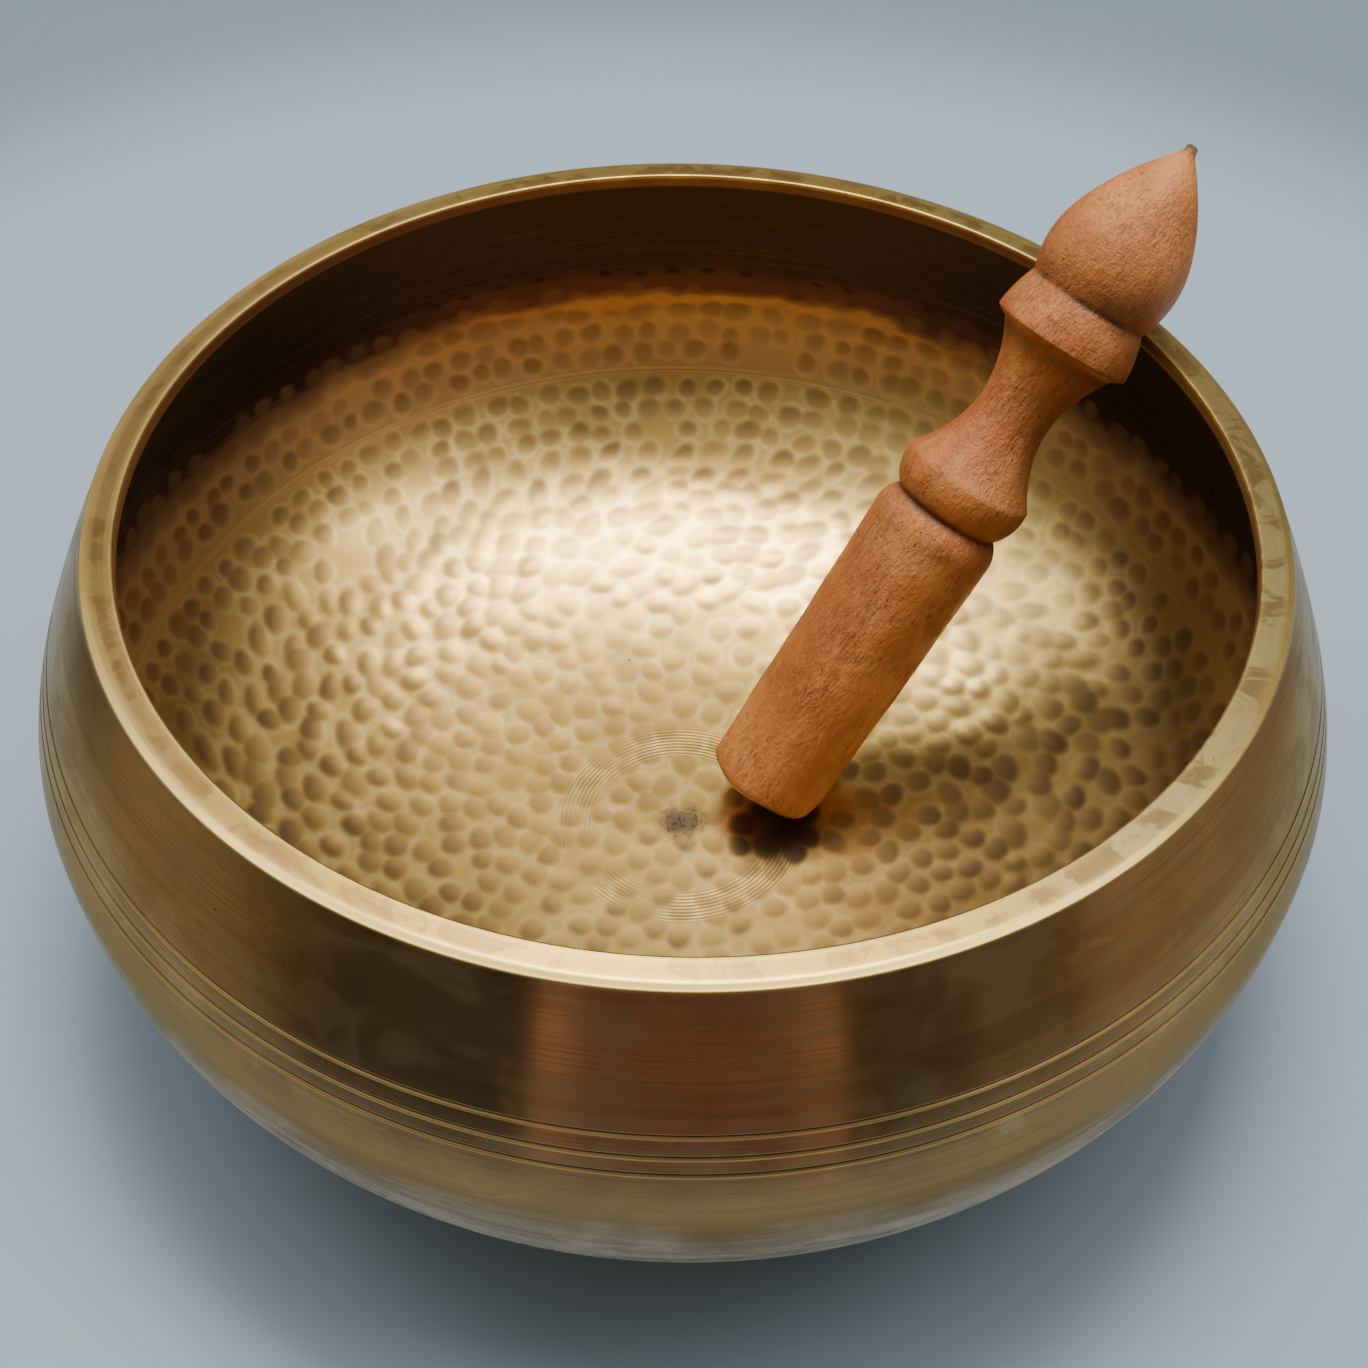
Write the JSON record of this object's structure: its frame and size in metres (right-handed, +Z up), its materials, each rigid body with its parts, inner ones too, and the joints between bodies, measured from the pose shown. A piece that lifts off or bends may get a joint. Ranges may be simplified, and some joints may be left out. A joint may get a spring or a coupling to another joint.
{
  "type": "singing bowl",
  "caption": "Round-bottomed bronze singing bowl with a flat lip, engraved lines and a beaten inside, and a turned wooden striker that leans in it.",
  "frame": {"origin": "centre of the flat foot under the bowl", "axes": "+Z up along the bowl's axis; the striker leans towards +X and +Y, 36 degrees round from +X"},
  "size_m": [0.28, 0.28, 0.156],
  "materials": {
    "bronze": "beaten inside, turned outside, satin",
    "hardwood": "turned, oiled, matte"
  },
  "bodies": {
    "bowl": {"bowl": "bronze"},
    "striker": {"striker": "hardwood"}
  },
  "joints": [
    {"name": "striker_lift", "type": "slide", "parent": "bowl", "child": "striker", "axis": [0, 0, 1], "range_m": [0, 0.16]}
  ]
}
